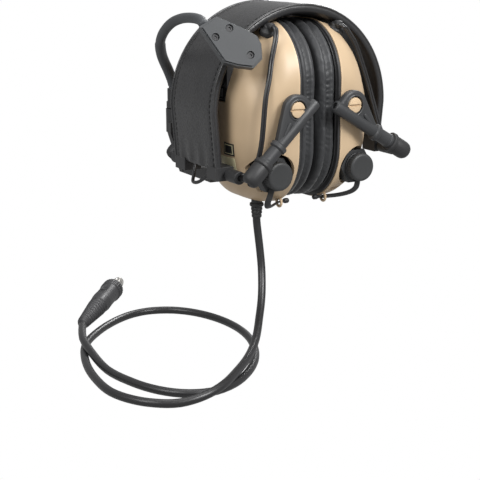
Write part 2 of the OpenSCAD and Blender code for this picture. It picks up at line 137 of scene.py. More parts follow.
def moulded(name, color, rough=0.5, grain=2600, depth=0.00003, tint=0.12, metallic=0.0, coat=0.0):
    """Moulded plastic, rubber or metal: fine surface grain, faint cloudy tint, worn paler ridges."""
    n = Nodes(name)
    cloud = n.noise(38, 4)
    col = n.ramp(cloud, [(0.3, shade(color, 1 - tint)), (0.7, shade(color, 1 + tint))])
    point = n.tree.nodes.new("ShaderNodeNewGeometry").outputs["Pointiness"]
    wear = n.math("MULTIPLY", n.math("SUBTRACT", point, 0.52), 6.0)
    wear = n.math("MULTIPLY", n.math("MAXIMUM", wear, 0.0), n.noise(240, 2))
    mixed = n.add("MixRGB", Fac=n.math("MINIMUM", wear, 0.5), Color1=col, Color2=(*shade(color, 1.7), 1))
    n.link(mixed.outputs[0], "Base Color")
    fine = n.noise(grain, 2)
    n.link(n.math("ADD", n.math("MULTIPLY", n.noise(120, 4), 0.16), rough - 0.08), "Roughness")
    n.link(n.bump(n.noise(90, 3), 0.12, 0.0002, n.bump(fine, 0.35, depth)), "Normal")
    n.bsdf.inputs["Metallic"].default_value = metallic
    n.bsdf.inputs["Coat Weight"].default_value = coat
    n.bsdf.inputs["Coat Roughness"].default_value = 0.25
    return n.mat


def leather(name, color, rough=0.42, pebble=1150, strength=0.55, tint=0.3):
    """Pebbled leather: rounded grains between fine creases, with soft larger creasing."""
    n = Nodes(name)
    warp = n.add("MixRGB", Fac=0.0009, Color1=n.coords,
                 Color2=n.add("TexNoise", Vector=n.coords, Scale=420.0).outputs["Color"])
    cells = n.add("TexVoronoi", Vector=warp.outputs[0], Scale=pebble, feature="SMOOTH_F1").outputs["Distance"]
    grains = n.math("SUBTRACT", 1.0, cells)
    dark = n.ramp(cells, [(0.15, shade(color, 1 + tint)), (0.75, shade(color, 1 - tint))])
    patch = n.add("MixRGB", Fac=n.math("MULTIPLY", n.noise(55, 4), 0.35), Color1=dark,
                  Color2=(*shade(color, 1.5), 1))
    n.link(patch.outputs[0], "Base Color")
    n.link(n.math("ADD", n.math("MULTIPLY", cells, 0.25), rough - 0.08), "Roughness")
    creases = n.noise(130, 5, 0.6)
    n.link(n.bump(grains, strength, 0.00016, n.bump(creases, 0.25, 0.0006)), "Normal")
    n.bsdf.inputs["Specular IOR Level"].default_value = 0.5
    return n.mat


def vinyl(name, color, rough=0.36):
    """Soft cushion vinyl: smooth sheen with fine skin creases running across the rolls."""
    n = Nodes(name)
    fine = n.noise(900, 3)
    long = n.noise(160, 5, 0.65, n.mapped((1.0, 0.35, 0.35)))
    col = n.ramp(n.noise(60, 3), [(0.3, shade(color, 0.85)), (0.7, shade(color, 1.3))])
    n.link(col, "Base Color")
    n.link(n.math("ADD", n.math("MULTIPLY", long, 0.2), rough - 0.08), "Roughness")
    n.link(n.bump(long, 0.3, 0.0005, n.bump(fine, 0.2, 0.00005)), "Normal")
    n.bsdf.inputs["Sheen Weight"].default_value = 0.12
    return n.mat


def foam(name, color):
    """Open-cell foam."""
    n = Nodes(name)
    cells = n.add("TexVoronoi", Vector=n.coords, Scale=900.0).outputs["Distance"]
    n.link(n.ramp(cells, [(0.1, shade(color, 0.4)), (0.6, shade(color, 1.4))]), "Base Color")
    n.link(n.bump(cells, 0.8, 0.0004), "Normal")
    n.bsdf.inputs["Roughness"].default_value = 0.95
    return n.mat


def metal(name, color, rough=0.28, lines=(40, 40, 2600)):
    """Plated or drawn metal with a faint directional grain."""
    n = Nodes(name)
    grain = n.noise(1.0, 3, 0.6, n.mapped(lines))
    n.link(n.ramp(grain, [(0.3, shade(color, 0.88)), (0.7, shade(color, 1.08))]), "Base Color")
    n.link(n.math("ADD", n.math("MULTIPLY", grain, 0.14), rough - 0.07), "Roughness")
    n.link(n.bump(grain, 0.12, 0.00003), "Normal")
    n.bsdf.inputs["Metallic"].default_value = 1.0
    return n.mat


def board(name):
    """Green circuit board with fine tracks."""
    n = Nodes(name)
    tracks = n.add("TexBrick", Vector=n.coords, Scale=260.0, Color1=(0.02, 0.16, 0.05, 1),
                   Color2=(0.03, 0.2, 0.07, 1),
                   Mortar=(0.16, 0.3, 0.12, 1))
    n.link(tracks.outputs["Color"], "Base Color")
    n.link(n.noise(300, 2), "Roughness")
    n.link(n.bump(tracks.outputs["Fac"], 0.3, 0.0001), "Normal")
    return n.mat


TAN = (0.50, 0.37, 0.235)
M = {
    "tan_shell": moulded("tan shell", TAN, 0.44, 3200, 0.00002, 0.05),
    "tan_screw": moulded("tan screw", shade(TAN, 1.05), 0.4, 1600, 0.00003, 0.06),
    "band_leather": leather("band leather", (0.021, 0.021, 0.022), 0.36, strength=0.8),
    "lining": leather("band lining", (0.014, 0.014, 0.015), 0.4, 2200, 0.25, 0.2),
    "piping": vinyl("piping", (0.02, 0.02, 0.021), 0.34),
    "thread": foam("thread", (0.03, 0.03, 0.031)),
    "cushion_vinyl": vinyl("cushion vinyl", (0.022, 0.023, 0.025), 0.52),
    "arm_moulding": moulded("arm moulding", (0.03, 0.031, 0.033), 0.46, 2400, 0.00004),
    "black_moulding": moulded("black moulding", (0.02, 0.02, 0.021), 0.5, 2400, 0.00004),
    "boot_rubber": moulded("boot rubber", (0.017, 0.017, 0.018), 0.55, 1800, 0.00005),
    "cap_plastic": moulded("cap plastic", (0.027, 0.028, 0.029), 0.55, 2600, 0.00005),
    "tether_rubber": moulded("tether rubber", (0.014, 0.014, 0.015), 0.5, 2000, 0.00003),
    "thin_cable": moulded("thin cable", (0.015, 0.015, 0.016), 0.36, 1500, 0.00002, coat=0.2),
    "key_rubber": moulded("key rubber", (0.02, 0.02, 0.021), 0.6, 1800, 0.00004),
    "boom_sleeve": moulded("boom sleeve", (0.04, 0.043, 0.047), 0.5, 1500, 0.00007),
    "mic_plastic": moulded("microphone grey", (0.046, 0.049, 0.052), 0.5, 2000, 0.00005, 0.06),
    "cable_pvc": moulded("cable jacket", (0.011, 0.011, 0.012), 0.42, 1500, 0.00001, coat=0.12),
    "plug_rubber": moulded("plug overmould", (0.024, 0.024, 0.026), 0.48, 1900, 0.00005),
    "plug_metal": metal("contact metal", (0.78, 0.76, 0.72), 0.2),
    "screw_steel": metal("screw steel", (0.07, 0.07, 0.072), 0.4),
    "wire_steel": metal("dark wire", (0.03, 0.03, 0.032), 0.45),
    "speaker_metal": metal("speaker metal", (0.5, 0.5, 0.52), 0.35),
    "battery_silver": metal("battery sleeve", (0.6, 0.6, 0.6), 0.3),
    "foam_grey": foam("acoustic foam", (0.09, 0.09, 0.095)),
    "board_green": board("circuit board"),
    "sticker": moulded("pale sticker", (0.62, 0.56, 0.36), 0.45, 900, 0.00002, 0.1),
    "gasket": moulded("dark gap", (0.01, 0.01, 0.01), 0.7, 900, 0.00002),
}

for name, ob in frame["nodes"].items():
    for m in range(max(1, len(ob.data.materials))):
        slot = next(s["material_slot"] for s in frame["record"]["subparts"] if s["node"] == name)
        if not ob.data.materials:
            ob.data.materials.append(M[slot])
        ob.data.materials[m] = M[slot]


# ---------------------------------------------------------------- mesh helpers (millimetres in, metres out)
def piece(name, verts, faces, mat, smooth=True):
    me = bpy.data.meshes.new(name)
    me.from_pydata([Vector(v) * MM for v in verts], [], faces)
    me.materials.append(mat)
    me.update()
    bm = bmesh.new()
    bm.from_mesh(me)
    bmesh.ops.recalc_face_normals(bm, faces=bm.faces)
    bm.to_mesh(me)
    bm.free()
    for p in me.polygons:
        p.use_smooth = smooth
    ob = bpy.data.objects.new(name, me)
    scene.collection.objects.link(ob)
    return ob


def grid(rows, cols, wrap_rows=False, wrap_cols=True):
    faces = []
    for i in range(rows if wrap_rows else rows - 1):
        for j in range(cols if wrap_cols else cols - 1):
            a, b = i, (i + 1) % rows
            c, d = j, (j + 1) % cols
            faces.append((a * cols + c, b * cols + c, b * cols + d, a * cols + d))
    return faces


def join(name, obs):
    obs = [o for o in obs if o is not None]
    bpy.ops.object.select_all(action="DESELECT")
    for o in obs:
        o.select_set(True)
    bpy.context.view_layer.objects.active = obs[0]
    if len(obs) > 1:
        bpy.ops.object.join()
    obs[0].name = obs[0].data.name = name
    return obs[0]


def apply_all(ob):
    bpy.context.view_layer.update()
    dg = bpy.context.evaluated_depsgraph_get()
    me = bpy.data.meshes.new_from_object(ob.evaluated_get(dg), preserve_all_data_layers=True, depsgraph=dg)
    old = ob.data
    ob.modifiers.clear()
    ob.data = me
    bpy.data.meshes.remove(old)
    me.name = ob.name
    return ob


def sharp(ob, angle=35):
    """Smooth shading with hard edges kept above an angle."""
    me = ob.data
    bm = bmesh.new()
    bm.from_mesh(me)
    for f in bm.faces:
        f.smooth = True
    for e in bm.edges:
        e.smooth = not (len(e.link_faces) == 2 and e.calc_face_angle(0) > math.radians(angle))
    bm.to_mesh(me)
    bm.free()
    return ob


def bevel(ob, width, segments=3, angle=30):
    b = ob.modifiers.new("bevel", "BEVEL")
    b.width = width * MM
    b.segments = segments
    b.limit_method = "ANGLE"
    b.angle_limit = math.radians(angle)
    b.harden_normals = False
    apply_all(ob)
    return sharp(ob)


def soften(node, width=0.4, segments=2, angle=32, mat=None, body=None):
    """A new piece in a CAD node's place, with its edges rounded."""
    src = frame["nodes"][node]
    me = src.data.copy()
    ob = bpy.data.objects.new("soft_" + node, me)
    scene.collection.objects.link(ob)
    bm = bmesh.new()
    bm.from_mesh(me)
    bmesh.ops.remove_doubles(bm, verts=bm.verts, dist=1e-6)
    bmesh.ops.dissolve_limit(bm, angle_limit=math.radians(2), verts=bm.verts, edges=bm.edges)
    bm.to_mesh(me)
    bm.free()
    if mat:
        me.materials.clear()
        me.materials.append(mat)
    bevel(ob, width, segments, angle)
    flat = ob.modifiers.new("flat", "WEIGHTED_NORMAL")
    flat.keep_sharp = True
    apply_all(ob)
    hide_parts(node)
    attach(ob, body or BODY_OF[node])
    return ob


def settle(ob, body, slot, *nodes):
    if nodes:
        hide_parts(*nodes)
    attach(ob, body)
    return ob


BODY_OF = {n: b for b, ns in frame["record"]["behaviour"]["bodies"].items() for n in ns}


def refine(pts, times=2):
    """The part's own smoothing: a point halfway along each span of a Catmull-Rom curve."""
    for _ in range(times):
        out = []
        for i in range(len(pts) - 1):
            a, b, c, d = pts[max(i - 1, 0)], pts[i], pts[i + 1], pts[min(i + 2, len(pts) - 1)]
            out += [b, tuple((9 * (b[k] + c[k]) - a[k] - d[k]) / 16 for k in range(3))]
        pts = out + [pts[-1]]
    return pts


def frames(pts, start=(1, 0, 0)):
    pts = [Vector(p) for p in pts]
    tans = []
    for i in range(len(pts)):
        t = pts[min(i + 1, len(pts) - 1)] - pts[max(i - 1, 0)]
        tans.append(t.normalized())
    n = Vector(start)
    out = []
    for p, t in zip(pts, tans):
        n = (n - t * n.dot(t)).normalized()
        out.append((p, t, n, t.cross(n)))
    return out


def tube(name, pts, r, mat, sides=16, flat=1.0, start=(1, 0, 0)):
    """A closed round tube along points; r is a number or a function of the fraction along it."""
    fr = frames(pts, start)
    verts, total = [], len(fr) - 1
    for i, (p, _, n, b) in enumerate(fr):
        rr = r(i / total) if callable(r) else r
        for k in range(sides):
            a = 2 * math.pi * k / sides
            verts.append(p + n * math.cos(a) * rr + b * math.sin(a) * rr * flat)
    faces = grid(len(fr), sides)
    first, last = fr[0], fr[-1]
    rounding = []
    for end, (p, t, n, b), sign in ((0, first, -1), (total, last, 1)):
        rr = (r(end / total) if callable(r) else r)
        base = end * sides
        prev = base
        for step in (0.5, 0.85):
            ring = len(verts)
            for k in range(sides):
                a = 2 * math.pi * k / sides
                q = math.cos(math.asin(step))
                verts.append(p + t * sign * rr * step * 0.35
                             + (n * math.cos(a) + b * math.sin(a) * flat) * rr * q)
            for k in range(sides):
                rounding.append((prev + k, prev + (k + 1) % sides, ring + (k + 1) % sides, ring + k))
            prev = ring
        rounding.append(tuple(prev + k for k in range(sides)))
    return piece(name, verts, faces + rounding, mat)


def basis(direction, up=(0, 0, 1)):
    d = Vector(direction).normalized()
    u = Vector(up)
    u = (u - d * u.dot(d)).normalized()
    return d, u, d.cross(u)


def lathe(name, at, direction, profile, mat, sides=64, up=(0, 0, 1), ripple=None, angle=35):
    """A turned piece: profile is (distance along, radius). ripple(index, angle) changes a radius."""
    d, u, w = basis(direction, up)
    at = Vector(at)
    verts = []
    for i, (x, r) in enumerate(profile):
        for k in range(sides):
            a = 2 * math.pi * k / sides
            rr = r + (ripple(x, a) if ripple and r > 0.5 else 0)
            verts.append(at + d * x + u * math.cos(a) * rr + w * math.sin(a) * rr)
    faces = grid(len(profile), sides)
    faces.append(tuple(range(sides)))
    faces.append(tuple(len(profile) * sides - sides + k for k in range(sides)))
    return sharp(piece(name, verts, faces, mat), angle)


def cut(ob, tool):
    """Takes the tool's shape out of a piece, and removes the tool."""
    b = ob.modifiers.new("cut", "BOOLEAN")
    b.operation = "DIFFERENCE"
    b.solver = "EXACT"
    b.object = tool
    apply_all(ob)
    bpy.data.objects.remove(tool)
    return ob


def hull_outline(circles, n=40):
    """Convex outline round some circles (x, y, r)."""
    pts = sorted({(round(x + r * math.cos(2 * math.pi * k / n), 4),
                   round(y + r * math.sin(2 * math.pi * k / n), 4))
                  for x, y, r in circles for k in range(n)})

    def half(seq):
        out = []
        for p in seq:
            while len(out) > 1 and ((out[-1][0] - out[-2][0]) * (p[1] - out[-2][1])
                                    - (out[-1][1] - out[-2][1]) * (p[0] - out[-2][0])) <= 0:
                out.pop()
            out.append(p)
        return out
    return half(pts)[:-1] + half(pts[::-1])[:-1]


def prism(name, outline, z0, z1, place, mat):
    """A flat outline given thickness; place turns (x, y, z) into the part's frame."""
    n = len(outline)
    verts = [place(x, y, z) for z in (z0, z1) for x, y in outline]
    faces = [tuple(range(n)), tuple(range(n, 2 * n))]
    faces += [(k, (k + 1) % n, n + (k + 1) % n, n + k) for k in range(n)]
    return piece(name, verts, faces, mat, False)


def wob(*v):
    return noise.noise(Vector(v))


# ---------------------------------------------------------------- radio cable and plug
CABLE = [
    (-22, -13, -109.5), (-22, -13, -118), (-21, -14, -130), (-21, -17, -145), (-25, -24, -159),
    (-32, -33, -169), (-42, -46, -176), (-55, -60, -179.5), (-70, -74, -180.3), (-84, -85, -181),
    (-97, -89, -183), (-110, -87, -185), (-121, -81, -185), (-129, -71, -185), (-134, -57, -185),
    (-134, -40, -185), (-131, -20, -185), (-125, 0, -185), (-117, 17, -185), (-105, 31, -185),
    (-91, 43, -185), (-75, 52, -185), (-60, 54, -185), (-46, 48, -185), (-36, 36, -185),
    (-30, 20, -185), (-28, 2, -185), (-30, -16, -185), (-36, -34, -185), (-46, -52, -185),
    (-59, -67, -185), (-74, -78, -185), (-90, -82, -185), (-104, -76, -185), (-114, -63, -185),
    (-120, -46, -185), (-123, -27, -185), (-123, -8, -182.5), (-120, 14, -180), (-111, 36, -179.3)]
cable_line = refine(CABLE, 2)
cable = tube("radio_lead", cable_line, 2.25, M["cable_pvc"], 20)

PLUG_AT = Vector((-111, 36, -179.3))
PLUG_DIR = (math.cos(math.radians(50)), math.sin(math.radians(50)), 0.035)


def plug_profile():
    out = [(-1.0, 2.3), (0.0, 3.0)]
    for k in range(9):
        x = 1.5 + k * 3.1
        r = 3.25 + 2.3 * (x / 30)
        out += [(x, r), (x + 0.35, r + 0.28), (x + 1.5, r + 0.42), (x + 1.85, r + 0.1), (x + 2.1, r - 0.75),
                (x + 2.75, r - 0.7)]
    out += [(30, 5.5), (31, 5.75), (35.6, 5.95), (36.2, 6.1), (37.2, 6.25), (40, 6.3), (46, 6.1), (52, 6.15),
            (55.4, 6.2), (56, 6.3), (56.3, 6.6), (57, 6.8), (58.4, 6.8), (58.9, 6.4), (59.5, 6.4), (60, 6.8),
            (63.2, 6.8), (64.5, 6.1), (65, 5.4), (65.0, 4.2), (64.4, 4.0), (64.4, 0.4)]
    return out


def plug_ripple(x, a):
    if 60 <= x <= 63.7 or 57 <= x <= 58.4:
        return -0.22 * (1 if math.sin(a * 26) > 0.2 else 0)
    if 39 < x < 54:
        return -0.35 * max(0.0, math.cos(a * 3)) ** 6
    return 0.0


plug = lathe("plug_overmould", PLUG_AT, PLUG_DIR, plug_profile(), M["plug_rubber"], 156, ripple=plug_ripple,
             angle=40)
pd, pu, pw = basis(PLUG_DIR)
thumb = lathe("thumb_tool", PLUG_AT + pd * 39 + pu * 9.0 - pw * 1.5, pd,
              [(0, 0.2), (1.5, 3.2), (5, 4.6), (9, 4.6), (12, 3.4), (13.5, 0.2)],
              M["plug_rubber"], 40)
cut(plug, thumb)
grips = []
for k in range(3):
    p = PLUG_AT + pd * (43 + 2.6 * k) + pu * 4.8 - pw * 0.4
    grips.append(tube("grip%d" % k, [p - pw * 2.8, p + pw * 2.0], 0.5, M["plug_rubber"], 8, start=(0, 0, 1)))
plug = join("plug_overmould", [plug] + grips)
sharp(plug, 40)
settle(plug, "left_cup", "plug_rubber", "radio_plug_body")
tip = lathe("plug_contacts", PLUG_AT + pd * 64.3, PLUG_DIR,
            [(0, 3.0), (0.2, 3.5), (3.9, 3.55), (4.1, 3.3), (4.2, 3.3), (4.9, 3.3), (5.0, 3.5), (7.9, 3.55),
             (8.1, 3.3), (8.9, 3.3),
             (9.0, 3.5), (11.0, 3.55), (12.0, 3.3), (12.6, 2.9), (13.3, 3.15), (14.2, 2.9), (15.2, 2.0),
             (15.6, 0.9), (15.7, 0.1)],
            M["plug_metal"], 48)
rings = [lathe("ring%d" % k, PLUG_AT + pd * (64.3 + x), PLUG_DIR,
               [(0, 3.2), (0.05, 3.36), (0.7, 3.36), (0.75, 3.2)], M["gasket"], 40)
         for k, x in enumerate((4.15, 8.15))]
tip = join("plug_contacts", [tip] + rings)
settle(tip, "left_cup", "plug_metal", "radio_plug_tip")
settle(cable, "left_cup", "cable_pvc", "radio_cable")
[tuple(c * MM for c in p) for p in cable_line]
gland = lathe("cable_relief", (-22, -13, -104), (0, 0, -1),
              [(0, 3.1), (3.2, 3.15), (3.4, 4.0), (4.6, 4.1), (5.2, 3.6), (5.6, 3.0), (6.2, 3.3), (7.2, 3.3),
               (7.6, 2.8), (8.2, 3.1),
               (9.2, 3.1), (9.6, 2.65), (10.4, 2.9), (11.4, 2.85), (12.0, 2.3)], M["boot_rubber"], 40,
              up=(1, 0, 0))
settle(gland, "left_cup", "boot_rubber", "cable_gland")


# ---------------------------------------------------------------- cup shells and cushions
def outline(a, hw, hh, r):
    """Distance from the centre to a rounded rectangle, in direction a."""
    c, s = abs(math.cos(a)), abs(math.sin(a))
    r = max(0.5, min(r, hw - 0.3, hh - 0.3))
    t = min(hw / max(c, 1e-9), hh / max(s, 1e-9))
    cy, cz = hw - r, hh - r
    if t * c > cy and t * s > cz:
        b = c * cy + s * cz
        t = b + math.sqrt(max(b * b - (cy * cy + cz * cz - r * r), 0.0))
    return t


SLICES = [(13.5, 41, -4.5, -107), (22, 40.5, -7, -106.5), (30, 38, -14, -103.5), (38, 30, -25, -96),
          (44.2, 17, -39, -83)]


def dome(t_in, count=58):
    """Smoothed slices of the shell, from the rim to the crown, each (x, half width, top, bottom)."""
    keys = [(x - (t_in if x > 30 else 0), w - t_in, t - t_in, b + t_in) for x, w, t, b in SLICES]
    keys += [(44.5 - t_in, 6, -55, -67), (44.55 - t_in, 1.2, -60.2, -61.8)]
    lens = [0.0]
    for p, q in zip(keys, keys[1:]):
        lens.append(lens[-1] + math.hypot(q[0] - p[0], q[1] - p[1]))

    def at(d):
        d = max(0.0, min(lens[-1], d))
        k = next(i for i in range(len(lens) - 1) if d <= lens[i + 1] + 1e-9)
        f = (d - lens[k]) / (lens[k + 1] - lens[k])
        return [keys[k][m] + (keys[k + 1][m] - keys[k][m]) * f for m in range(4)]
    out = []
    for i in range(count + 1):
        d = lens[-1] * i / count
        w = min(2.6, d, lens[-1] - d)
        samples = [at(d + w * (j / 4 - 1)) for j in range(9)]
        out.append([sum(s[m] for s in samples) / 9 for m in range(4)])
    out[0][0] = keys[0][0]
    return out


def shell(side):
    s = -1 if side == "left" else 1
    n = 168
    verts = []
    outer, inner = dome(0), dome(2.2)
    inner[0][0] = 13.5
    for prof in (outer, inner[::-1]):
        for x, w, t, b in prof:
            cz, hh = (t + b) / 2, (t - b) / 2
            for k in range(n):
                a = 2 * math.pi * k / n
                r = outline(a, w, hh, 33)
                verts.append((s * x, -3 + r * math.cos(a), cz + r * math.sin(a)))
    rows = len(outer) + len(inner)
    ob = piece(side + "_dome", verts, grid(rows, n, wrap_rows=True), M["tan_shell"])
    well = lathe("well", (s * CAP_X, -60, CAP_Z), (0, 1, 0), [(0, 11.6), (33, 11.6)], M["tan_shell"], 48)
    cut(ob, well)
    cut(ob, lathe("channel", (s * CAP_X, -60, CAP_Z), (0, 1, 0), [(0, 8.3), (69.3, 8.3)], M["tan_shell"], 48))
    if s < 0:
        rec = prism("rec", hull_outline([(y, z, 1.0) for y in (-15.2, 3.2) for z in (-47.2, -24.8)]),
                    -50, -36.3, lambda y, z, x: (x, y, z), M["tan_shell"])
        cut(ob, rec)
    if s > 0:
        for z in (-8.5, -101):
            corners = [(20 + dx, z + dz, 0.8) for dz in (-1.6, 1.6) for dx in (-3.2, 3.2)]
            cut(ob, prism("slot", hull_outline(corners, 12), -44, -29, lambda u, v, w: (s * u, w, v),
                          M["tan_shell"]))
    bosses = []
    for e in (-1, 1):
        bosses.append(lathe("boss", (s * PIVOT_X, CUP_Y + e * 36, PIVOT_Z), (0, e, 0),
                            [(0, 4.9), (4.9, 4.8), (5.6, 4.5), (6.0, 4.0), (6.0, 0.3)],
                            M["tan_shell"], 48))
    ob = join(side + "_dome", [ob] + bosses)
    sharp(ob, 38)
    return settle(ob, side + "_cup", "tan_shell", side + "_shell")


def puff(ob, cap, pressure=4.0, frames_=20):
    """Inflates a cushion's cover, then keeps the result, with no point moved further than cap."""
    cl = ob.modifiers.new("cloth", "CLOTH")
    st = cl.settings
    st.quality = 4
    st.mass = 0.15
    st.use_pressure = True
    st.uniform_pressure_force = pressure
    st.effector_weights.gravity = 0
    st.tension_stiffness = st.compression_stiffness = 25
    st.bending_stiffness = 0.4
    cl.point_cache.frame_start, cl.point_cache.frame_end = 1, frames_
    base = [v.co.copy() for v in ob.data.vertices]
    for f in range(1, frames_ + 1):
        scene.frame_set(f)
    dg = bpy.context.evaluated_depsgraph_get()
    me = ob.evaluated_get(dg).to_mesh()
    new = [v.co.copy() for v in me.vertices]
    ob.evaluated_get(dg).to_mesh_clear()
    ob.modifiers.clear()
    for v, a, b in zip(ob.data.vertices, base, new):
        d = b - a
        if d.length > cap * MM:
            d *= cap * MM / d.length
        v.co = a + d
    scene.frame_set(1)


CUSHION_OUTER, CUSHION_INNER = (38.3, 49.8, 32), (22.6, 32.6, 20)  # half width, half height, corner


def cushion(side):
    """An ear cushion: a puffed ring, then its side seam, gathers and creases pressed into it."""
    s = -1 if side == "left" else 1
    seed, strength = (3.0, 0.75) if s < 0 else (17.0, 1.25)
    rows, cols = 150, 36
    cy, cz, xm, hx = -3.0, -55.0, 6.45, 5.45
    verts = []
    for i in range(rows):
        a = 2 * math.pi * i / rows
        ro, ri = outline(a, *CUSHION_OUTER), outline(a, *CUSHION_INNER)
        mid, half = (ro + ri) / 2, (ro - ri) / 2
        for j in range(cols):
            b = 2 * math.pi * j / cols
            cb, sb = math.cos(b), math.sin(b)
            r = mid + half * math.copysign(abs(cb) ** 0.45, cb)
            x = xm + hx * math.copysign(abs(sb) ** 0.45, sb)
            verts.append((s * x, cy + r * math.cos(a), cz + r * math.sin(a)))
    ob = piece(side + "_ear_cushion", verts, grid(rows, cols, wrap_rows=True), M["cushion_vinyl"])
    puff(ob, cap=0.6)
    pts = [v.co / MM for v in ob.data.vertices]
    old = ob.data
    up = 3
    fine = []

    def catmull(p, q, r_, t, f):
        return 0.5 * ((2 * q) + (r_ - p) * f + (2 * p - 5 * q + 4 * r_ - t) * f * f
                      + (3 * q - p - 3 * r_ + t) * f ** 3)
    wide = [[None] * (cols * 2) for _ in range(rows)]
    for i in range(rows):
        for j in range(cols * 2):
            k, f = divmod(j, 2)
            g = [pts[i * cols + (k + m) % cols] for m in (-1, 0, 1, 2)]
            wide[i][j] = g[1] if f == 0 else catmull(*g, 0.5)
    c2, r2 = cols * 2, rows * up
    for i in range(r2):
        k, f = divmod(i, up)
        for j in range(c2):
            g = [wide[(k + m) % rows][j] for m in (-1, 0, 1, 2)]
            fine.append(catmull(*g, f / up))
    total = 2 * math.pi * 45
    out = []
    for i in range(r2):
        u = i / r2
        length = u * total
        ang = 2 * math.pi * u
        cu, su = math.cos(ang), math.sin(ang)
        for j in range(c2):
            p = fine[i * c2 + j].copy()
            x = abs(p.x)
            y, z = p.y - cy, p.z - cz
            r = math.hypot(y, z)
            dirn = Vector((0, y / r, z / r))
            toward = math.atan2(z, y)
            half_out = (outline(toward, *CUSHION_OUTER) + outline(toward, *CUSHION_INNER)) / 2
            outer = max(0.0, min(1.0, (r - half_out) / 6.0))
            drift = 0.45 * strength * wob(cu * 6 + seed, su * 6, 0.3)
            dx = x - (xm + drift)
            pucker = 1 + 0.3 * wob(cu * 34, su * 34, seed)
            groove = 2.5 * pucker * math.exp(-(dx / 0.65) ** 2)
            roll = 0.8 * math.sin(math.pi * min(1.0, abs(dx) / hx)) - 0.4
            teeth = 0.18 * math.sin(length * 2 * math.pi / 3.2 + 2.5 * wob(cu * 9, su * 9,
                                                                           seed)) * math.exp(-abs(dx) / 1.7)
            fold = wob(cu * 11 + dx * 0.28, su * 11 - dx * 0.2, seed + 4)
            pleat = -1.5 * strength * max(0.0, fold - 0.22) * math.exp(-abs(dx) / 4.0)
            creases = 0.2 * strength * wob(cu * 26 + dx * 0.5, su * 26, seed + x * 0.16)
            p += dirn * outer * (roll - groove - teeth * 0.9 + pleat + creases)
            p.x += math.copysign(1, p.x) * (1 - outer) * 0.18 * wob(cu * 12, su * 12, x)
            out.append(p)
    bpy.data.objects.remove(ob)
    bpy.data.meshes.remove(old)
    ob = piece(side + "_ear_cushion", out, grid(r2, c2, wrap_rows=True), M["cushion_vinyl"])
    lip = []
    for i in range(180):
        a = 2 * math.pi * i / 180
        r = outline(a, 37.6, 48.9, 31.5)
        lip.append((s * 12.4, cy + r * math.cos(a), cz + r * math.sin(a)))
    edge = ring_tube(side + "_lip", lip, 0.85, M["piping"])
    ob = join(side + "_ear_cushion", [ob, edge])
    settle(ob, side + "_cup", "cushion_vinyl", side + "_cushion")
    return ob


def ring_tube(name, pts, r, mat, sides=8):
    pts = [Vector(p) for p in pts]
    n = len(pts)
    verts = []
    for i, p in enumerate(pts):
        t = (pts[(i + 1) % n] - pts[i - 1]).normalized()
        u = Vector((1, 0, 0))
        u = (u - t * u.dot(t)).normalized()
        w = t.cross(u)
        for k in range(sides):
            a = 2 * math.pi * k / sides
            verts.append(p + u * math.cos(a) * r + w * math.sin(a) * r)
    return piece(name, verts, grid(n, sides, wrap_rows=True), mat)


for side in ("left", "right"):
    shell(side)
    cushion(side)


# ---------------------------------------------------------------- headband
MID_R, ARCH_Z, LEAN = 55, -53.0, math.tan(math.radians(5))
STITCH_Y = 20.6
LEG_END = {"left": -84.6, "right": -77.2}


def band_path(side, count=110):
    """Middle of the band's thickness from the crown to the end of a leg, with the outward direction."""
    s = -1 if side == "left" else 1
    arc = math.pi / 2 * MID_R
    leg = (ARCH_Z - LEG_END[side]) * math.hypot(1, LEAN)
    out = []
    for i in range(count + 1):
        d = (arc + leg) * i / count
        if d <= arc:
            a = math.pi / 2 - d / MID_R
            out.append((Vector((s * MID_R * math.cos(a), 0, ARCH_Z + MID_R * math.sin(a))),
                        Vector((s * math.cos(a), 0, math.sin(a)))))
        else:
            f = (d - arc) / math.hypot(1, LEAN)
            blend = min(1.0, (d - arc) / 6)
            nrm = Vector((s, 0, -LEAN * blend)).normalized()
            out.append((Vector((s * (MID_R - f * LEAN), 0, ARCH_Z - f)), nrm))
    return out, arc + leg


